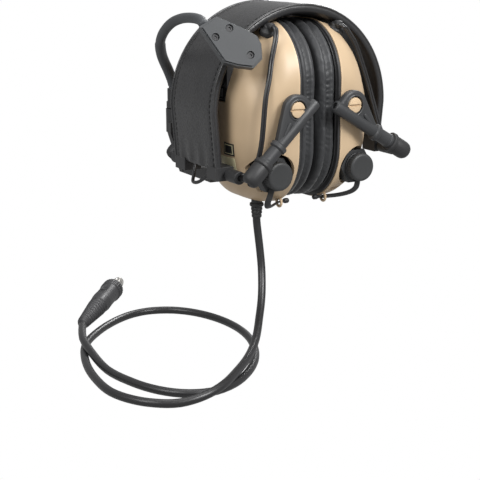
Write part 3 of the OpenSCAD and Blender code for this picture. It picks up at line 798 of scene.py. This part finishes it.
def band(side):
    """Half of the padded band, from the crown to the end of a leg: the leather and its lining, with piping and
    stitches.
    """
    path, total = band_path(side)
    prof = []
    for k in range(45):
        y = -24.0 + 48.0 * k / 44
        stitch = math.exp(-((abs(y) - STITCH_Y) / 0.5) ** 2)
        prof.append((y, 1.7 + 0.35 * (1 - (y / 24) ** 2) - 0.42 * stitch, 0))
    prof += [(24.6, 1.25, 0), (24.95, 0.5, 0), (25.0, -0.4, 0), (24.7, -1.3, 1), (24.1, -1.8, 1)]
    for k in range(1, 20):
        y = 23.6 - 47.2 * k / 20
        prof.append((y, -1.85, 1))
    prof += [(-24.1, -1.8, 1), (-24.7, -1.3, 1), (-25.0, -0.4, 0), (-24.95, 0.5, 0), (-24.6, 1.25, 0)]
    n = len(prof)
    verts, mats = [], []
    for i, (p, nrm) in enumerate(path):
        u = i / (len(path) - 1)
        end = min(1.0, (1 - u) * total / 1.6)
        squeeze = math.sqrt(max(0.02, 1 - (1 - end) ** 2))
        for y, h, _ in prof:
            ripple = 0.16 * wob(p.x * 0.05, y * 0.09, p.z * 0.05) if h > 0 else 0.1 * wob(p.x * 0.07,
                                                                                          y * 0.1, p.z * 0.07)
            fold = 0.0
            if u > 0.86 and h > 0:
                fold = (0.5 * (u - 0.86) / 0.14 * math.sin(y * 0.55 + 1.3)
                        * math.exp(-((abs(y) - 8) / 12) ** 2))
            pad = 2.3 / (1 + math.exp((u * total - 34) / 4)) * (1 - (y / 26) ** 6) if h < -1 else 0.0
            if h < -1 and y > 0:
                pad += 3.4 * math.exp(-((y - 20) / 3.4) ** 2) / (1 + math.exp((u * total - 48) / 4))
            verts.append(p + nrm * ((h + ripple - fold - pad) * squeeze) + Vector((0, y, 0)))
    faces = grid(len(path), n)
    ob = piece(side + "_band", verts, faces + [tuple(len(path) * n - n + k for k in range(n))],
               M["band_leather"])
    ob.data.materials.append(M["lining"])
    for poly in ob.data.polygons:
        if poly.index < (len(path) - 1) * n:
            poly.material_index = prof[poly.index % n][2]
    parts = [ob]
    for y in (-24.3, 24.3):
        line = [p + nrm * 1.55 + Vector((0, y, 0)) for p, nrm in path]
        parts.append(tube(side + "_piping", line, 0.72, M["piping"], 10, start=(0, 1, 0)))
    verts, faces = [], []
    d = 1.4
    fine, _ = band_path(side, 800)
    while d < total - 2.5:
        for y in (-STITCH_Y, STITCH_Y):
            p, nrm = fine[min(800, round(d / total * 800))]
            q, _ = fine[min(800, round(d / total * 800) + 4)]
            t = (q - p).normalized()
            c = p + nrm * 1.72 + Vector((0, y, 0))
            side_v = Vector((0, 1, 0))
            base = len(verts)
            for lz in (-1, -0.55, 0.55, 1):
                rr = 0.24 if abs(lz) < 1 else 0.1
                for k in range(6):
                    a = math.pi / 3 * k
                    verts.append(c + t * lz * 0.95 + side_v * rr * math.cos(a) * 1.2
                                 + nrm * (rr * math.sin(a) - 0.1 * abs(lz)))
            for r in range(3):
                for k in range(6):
                    faces.append((base + r * 6 + k, base + r * 6 + (k + 1) % 6,
                                  base + r * 6 + 6 + (k + 1) % 6, base + r * 6 + 6 + k))
        d += 2.9
    parts.append(piece(side + "_stitches", verts, faces, M["thread"]))
    ob = join(side + "_band", parts)
    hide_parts(side + "_band_cover", *(["headband_crown"] if side == "left" else []))
    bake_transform(ob)
    return ob


for side in ("left", "right"):
    band(side)

# ---------------------------------------------------------------- arms, screws and boots
SLOPE = {"left": 44, "right": 31}


def on_arm(side, e):
    """Maps a point drawn beside the pivot, +X along the tube, into the part's frame."""
    s = -1 if side == "left" else 1
    a = math.radians(SLOPE[side])

    def place(x, y, z):
        return Vector((s * (PIVOT_X + x * math.cos(a) + z * math.sin(a)), CUP_Y + e * y,
                       PIVOT_Z - x * math.sin(a) + z * math.cos(a)))
    return place


def arm(side, e, node):
    place = on_arm(side, e)
    axis = place(1, 0, 0) - place(0, 0, 0)
    flat = prism("arm", hull_outline([(0, 0, 8.3), (17, -5.2, 3.6), (-6.5, -5.2, 2.6)], 48), 0, 1,
                 lambda x, z, y: place(x, 42.4 + y * 4.9, z), M["arm_moulding"])
    bevel(flat, 1.3, 4)
    tool = lathe("tool", place(0, 45.6, 0), (0, e, 0), [(0, 5.0), (4, 5.0)], M["arm_moulding"], 48)
    cut(flat, tool)
    lip = ring_tube("lip", [place(5.5 * math.cos(k * math.pi / 24), 47.2, 5.5 * math.sin(k * math.pi / 24))
                            for k in range(48)], 0.55, M["arm_moulding"])
    rod = lathe("rod", place(0, 45.4, -6), axis,
                [(-11, 2.6), (-10.6, 3.2), (-9.5, 3.4), (2, 3.45), (10, 3.5), (19.8, 3.55), (20.1, 4.3),
                 (20.6, 4.75), (22.6, 4.75), (23.1, 4.3),
                 (23.4, 3.75), (31.2, 3.85), (31.6, 4.2), (34, 4.2)], M["arm_moulding"], 40, up=(0, 1, 0))
    bore = lathe("bore", place(-13, 45.4, -6), axis, [(0, 2.0), (8, 2.0), (8.1, 1.45), (50, 1.45)],
                 M["arm_moulding"], 24, up=(0, 1, 0))
    cut(rod, bore)
    # a raised rib from the head down to the tube
    rib = prism("rib", hull_outline([(9, -1.6, 1.0), (18.5, -5.0, 0.9)], 16), 0, 1, lambda x, z,
                y: place(x, 47.0 + y * 1.0, z), M["arm_moulding"])
    bevel(rib, 0.4, 2)
    ob = join("%s_arm_%s" % (side, "front" if e > 0 else "rear"), [flat, lip, rod, rib])
    sharp(ob, 36)
    settle(ob, side + "_yoke", "arm_moulding", node)
    boot = lathe("boot", place(0, 45.4, -6), axis,
                 [(33, 4.3), (33.1, 5.2), (33.5, 5.65), (35.0, 5.7), (35.5, 5.3), (35.8, 4.85), (36.3, 4.9),
                  (36.6, 5.05), (44, 5.05), (45.8, 4.75),
                  (47.0, 4.0), (47.8, 2.6), (48.0, 0.6)], M["boot_rubber"], 48, up=(0, 1, 0),
                 ripple=lambda x, a: 0.12 * math.cos(a * 20) if 36.4 < x < 44.5 else 0.0)
    cut(boot, lathe("bore", place(32, 45.4, -6), axis, [(0, 1.6), (18, 1.6)], M["boot_rubber"], 24,
                    up=(0, 1, 0)))
    cut(boot, prism("notch", [(44.3, -1.7), (50, -1.7), (50, 1.7), (44.3, 1.7)], 37, 45.4,
                    lambda x, z, y: place(x, y, z - 6), M["boot_rubber"]))
    sharp(boot, 35)
    return settle(boot, side + "_yoke", "boot_rubber", node.replace("arm", "boot"))


for side in ("left", "right"):
    for e, word in ((-1, "rear"), (1, "front")):
        arm(side, e, "%s_%s_arm" % (side, word))
    s = -1 if side == "left" else 1
    heads = []
    for e in (-1, 1):
        head = lathe("head", (s * PIVOT_X, CUP_Y + e * 44.6, PIVOT_Z), (0, e, 0),
                     [(0, 2), (0.1, 4.2), (0.5, 4.4), (2.2, 4.4), (2.75, 4.15), (2.95, 3.6), (3.0, 0.3)],
                     M["tan_screw"], 56)
        c = Vector((s * PIVOT_X, CUP_Y + e * 47.7, PIVOT_Z))
        slot = prism("slot", [(-6, -0.62), (6, -0.62), (6, 0.62), (-6, 0.62)], -1.1, 1.1, lambda x, z, y,
                     c=c: c + Vector((x, y, z)), M["gasket"])
        cut(head, slot)
        heads.append(head)
    ob = join(side + "_screw_heads", heads)
    sharp(ob, 35)
    settle(ob, side + "_cup", "tan_screw", side + "_pivot_screws")

# ---------------------------------------------------------------- battery caps, housings and tethers
for side in ("left", "right"):
    s = -1 if side == "left" else 1
    prof = [(0, 6.7), (0.1, 7.5), (0.5, 7.8), (3.4, 7.85), (4.1, 7.7), (4.6, 7.2), (4.82, 6.5), (4.72, 5.6),
            (4.7, 3), (4.7, 0.3)]
    cap = lathe(side + "_cap_cover", (s * CAP_X, -42.4, CAP_Z), (0, -1, 0), prof, M["cap_plastic"], 144,
                ripple=lambda x, a: 0.12 * (1 if math.cos(a * 36) > 0 else -1) if 0.4 < x < 3.6 else 0.0,
                angle=30)
    settle(cap, side + "_cap", "cap_plastic", side + "_battery_cap")
    soften(side + "_battery_holder", 0.5, 2)

TETHERS = {
    "left": [(-29.5, -41.7, -93.5), (-31, -41.7, -98), (-31.5, -40.5, -101.5), (-28.5, -37, -104.4),
             (-23, -31.5, -105.4), (-18.5, -27.4, -105.5), (-14.9, -25.6, -105.2), (-11.5, -25, -105.1)],
    "right": [(27.5, -41.7, -94), (26.8, -41.5, -98), (24.5, -39, -101), (20.5, -34, -103.2),
              (17, -28.5, -104.6), (14.9, -25.6, -105.2), (11.5, -25, -105.1)]}
LOOP = (14.9, -25.6, -105.2)


def circle_x(s, r, n):
    """A ring of points round the tether's eyelet, which stands edge-on."""
    return [(s * LOOP[0], LOOP[1] + r * math.cos(2 * math.pi * k / n),
             LOOP[2] + r * math.sin(2 * math.pi * k / n))
            for k in range(n)]


for side, pts in TETHERS.items():
    s = -1 if side == "left" else 1
    strap = tube("strap", refine(pts, 3), lambda f: 1.95 - 0.45 * max(0.0, f - 0.7) / 0.3,
                 M["tether_rubber"], 14, flat=0.34)
    knob = lathe("knob", pts[-1], (-s, 0, 0),
                 [(-0.6, 0.6), (0, 1.2), (0.8, 1.5), (2.6, 1.45), (3.2, 1.0), (3.4, 0.3)],
                 M["tether_rubber"], 24)
    collar = ring_tube("collar",
                       [(s * CAP_X + 7.4 * math.cos(k * math.pi / 36), -41.6,
                         CAP_Z + 7.4 * math.sin(k * math.pi / 36))
                                  for k in range(72)], 0.62, M["tether_rubber"])
    settle(join(side + "_tether_strap", [strap, knob, collar]), side + "_cup", "tether_rubber",
           side + "_cap_tether")
    loop = ring_tube(side + "_tether_loop", circle_x(s, 2.45, 40), 0.8, M["tan_shell"], 12)
    stem = tube("stem", [(s * 14.9, -25.4, -103.4), (s * 14.9, -24.8, -102.2)], 1.2, M["tan_shell"], 12)
    settle(join(side + "_tether_loop", [loop, stem]), side + "_cup", "tan_shell", side + "_tether_eyelet")

# ---------------------------------------------------------------- crossover cables, grommets, clips, sleeves
LINKS = {
    "left": [(-22, -29.6, -7.6), (-22.5, -33, -8.5), (-24.5, -36, -14), (-28, -38, -24), (-31, -40.5, -34),
             (-34, -42, -44), (-35.5, -42.5, -56), (-36, -41.5, -67), (-37.5, -40.5, -76),
             (-41, -40.3, -81.5),
             (-44.2, -40.2, -83.8), (-45.7, -38.5, -84.3)],
    "right": [(22, -29.6, -7.6), (24, -31.5, -9), (28, -29, -12), (35, -25.5, -18.5), (40.5, -24.5, -29),
              (45, -25.5, -42), (48.5, -27.5, -56), (51, -29.5, -67), (52.4, -31.5, -71.5),
              (53.3, -33.5, -74.2)]}
for side, pts in LINKS.items():
    s = -1 if side == "left" else 1
    line = refine(pts, 3)
    twin = [tube("strand", [(x + dx, y, z) for x, y, z in line], 0.82, M["thin_cable"], 12) for dx in (-0.75,
                                                                                                       0.75)]
    ob = join(side + "_crossover", twin)
    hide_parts(side + "_link_cable")
    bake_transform(ob)
    lean = math.radians(26)
    up = Vector((0, -math.sin(lean), math.cos(lean)))
    disc = lathe("disc", Vector((s * 22, -24.3, -10.4)) - up * 1.5, up,
                 [(0, 4.6), (1.2, 4.75), (2.6, 4.7), (3.0, 4.4), (3.3, 3.6), (3.6, 3.3), (5.0, 3.0),
                  (5.4, 2.5), (5.6, 0.3)],
                 M["boot_rubber"], 40)
    boss = lathe("boss", (s * 22, -25.0, -7.6), (0, -1, 0),
                 [(0, 1.9), (0.5, 2.35), (3.2, 2.3), (4.1, 2.05), (4.7, 1.6), (4.75, 1.15)],
                 M["boot_rubber"], 28)
    settle(join(side + "_exit_boot", [disc, boss]), side + "_cup", "boot_rubber", side + "_link_grommet")
    soften(side + "_band_clips", 0.6, 3)
    soften(side + "_wire_sleeves", 0.5, 3)

slack = refine([(-49.5, 9, -80), (-50.5, 8, -86), (-53, 5, -91.5), (-55.5, 1, -94), (-55, -4, -93.5),
                (-52.5, -8.5, -90), (-50.5, -11, -85), (-49.5, -12, -80)], 3)
settle(tube("left_slack_loop", slack, 1.0, M["thin_cable"], 12), "left_half", "thin_cable")

# ---------------------------------------------------------------- keypad, and blank labels that are visual only
def decal(name, at, size, turn, lift, mat):
    """A thin patch laid on the left shell, at (y, z)."""
    me = bpy.data.objects["left_dome"].data
    tree = BVHTree.FromPolygons([v.co for v in me.vertices], [f.vertices[:] for f in me.polygons])
    n, verts = 9, []
    c, sn = math.cos(math.radians(turn)), math.sin(math.radians(turn))
    for layer in (lift, lift - 0.3):
        for i in range(n):
            for j in range(n):
                u, v = size[0] * (i / (n - 1) - 0.5), size[1] * (j / (n - 1) - 0.5)
                y, z = at[0] + u * c - v * sn, at[1] + u * sn + v * c
                hit, normal, _, _ = tree.ray_cast(Vector((-60, y, z)) * MM, Vector((1, 0, 0)))
                verts.append(hit / MM + Vector((-1, 0, 0)) * layer)
    top = grid(n, n, wrap_cols=False)
    rim = [i * n for i in range(n)] + [(n - 1) * n + j for j in range(1, n)]
    rim += [i * n + n - 1 for i in range(n - 2, -1, -1)] + list(range(n - 2, 0, -1))
    faces = top + [tuple(k + n * n for k in f) for f in top]
    faces += [(a, b, b + n * n, a + n * n) for a, b in zip(rim, rim[1:] + rim[:1])]
    return sharp(piece(name, verts, faces, mat), 40)


LABEL_AT, LABEL_TURN = (-18.8, -73.6), 5
label = join("blank_label", [decal("label", LABEL_AT, (7.6, 7.0), LABEL_TURN, 0.16, M["gasket"]),
                             decal("frame", LABEL_AT, (6.0, 5.2), LABEL_TURN, 0.2, M["sticker"]),
                             decal("field", LABEL_AT, (5.2, 4.4), LABEL_TURN, 0.24, M["gasket"])])
settle(label, "left_cup", "black_moulding")
settle(decal("pale_sticker", (-15.5, -82.3), (12, 8.5), LABEL_TURN, 0.12, M["sticker"]), "left_cup",
       "tan_shell")

soften("keypad_bezel", 0.9, 3)
for n in ("upper_button", "middle_button", "lower_button"):
    soften(n, 0.7, 3)

# ---------------------------------------------------------------- boom and microphone
BOOM = [
    (-40.5, 54, -51), (-40.5, 54, -48.5), (-40.5, 54, -46), (-41.8, 53.6, -42), (-45, 52.2, -36),
    (-50.5, 48, -28), (-55.5, 40, -19.5), (-58, 30, -12.5), (-58.5, 18, -6.5), (-57.5, 6, -3.5),
    (-57, -6, -3), (-58, -15, -3.8), (-60, -22, -5.5)]
settle(tube("boom_tube", refine(BOOM, 3), lambda f: 3.15 if 0.16 < f < 0.5 else 2.8, M["boom_sleeve"], 24),
       "boom", "boom_sleeve", "gooseneck")
soften("boom_ferrule", 0.6, 3)
soften("boom_bracket", 0.8, 3)
soften("mic_cover", 0.45, 3)
soften("mic_base", 0.6, 3)

# ---------------------------------------------------------------- light and floor
world = bpy.data.worlds.new("world")
scene.world = world
world.use_nodes = True
wt = world.node_tree
bg = wt.nodes["Background"]
bg.inputs[0].default_value = (1, 1, 1, 1)
bg.inputs[1].default_value = 0.4
seen = wt.nodes.new("ShaderNodeBackground")
seen.inputs[0].default_value = (1, 1, 1, 1)
seen.inputs[1].default_value = 1.0
path = wt.nodes.new("ShaderNodeLightPath")
mix = wt.nodes.new("ShaderNodeMixShader")
wt.links.new(path.outputs["Is Camera Ray"], mix.inputs[0])
wt.links.new(bg.outputs[0], mix.inputs[1])
wt.links.new(seen.outputs[0], mix.inputs[2])
wt.links.new(mix.outputs[0], wt.nodes["World Output"].inputs[0])

# the floor touches the cable's lowest stretch at rest; where a pose lowers the cup, the cable goes below it
corners = [(x * FLOOR_HALF, y * FLOOR_HALF, FLOOR_Z) for x, y in ((-1, -1), (1, -1), (1, 1), (-1, 1))]
fl = piece("floor", corners, [(0, 1, 2, 3)], M["sticker"], False)
fm = bpy.data.materials.new("white floor")
fm.use_nodes = True
ft = fm.node_tree
em = ft.nodes.new("ShaderNodeEmission")
em.inputs["Color"].default_value = (1, 1, 1, 1)
glow = ft.nodes.new("ShaderNodeMath")
glow.operation = "MULTIPLY_ADD"
glow.inputs[1].default_value = 0.5
glow.inputs[2].default_value = 0.5
ft.links.new(ft.nodes.new("ShaderNodeLightPath").outputs["Is Camera Ray"], glow.inputs[0])
ft.links.new(glow.outputs[0], em.inputs["Strength"])
ft.links.new(em.outputs[0], ft.nodes["Material Output"].inputs[0])
fl.data.materials[0] = fm


def light(name, at, target, size, power):
    data = bpy.data.lights.new(name, "AREA")
    data.size = size
    data.energy = power
    ob = bpy.data.objects.new(name, data)
    scene.collection.objects.link(ob)
    ob.location = at
    ob.rotation_euler = (Vector(target) - Vector(at)).to_track_quat("-Z", "Y").to_euler()


light("key", (0.2, -0.85, 0.6), (0, 0, -0.05), 0.4, 13.5)
light("side", (-0.8, -0.25, 0.45), (0, 0, -0.05), 0.4, 4.5)
light("rim", (0.6, 0.5, 0.45), (0, 0, -0.05), 0.15, 4)
light("top", (0.1, 0.15, 0.95), (0, 0, -0.05), 0.7, 5)
scene.view_settings.view_transform = "Standard"
scene.view_settings.exposure = 0.0
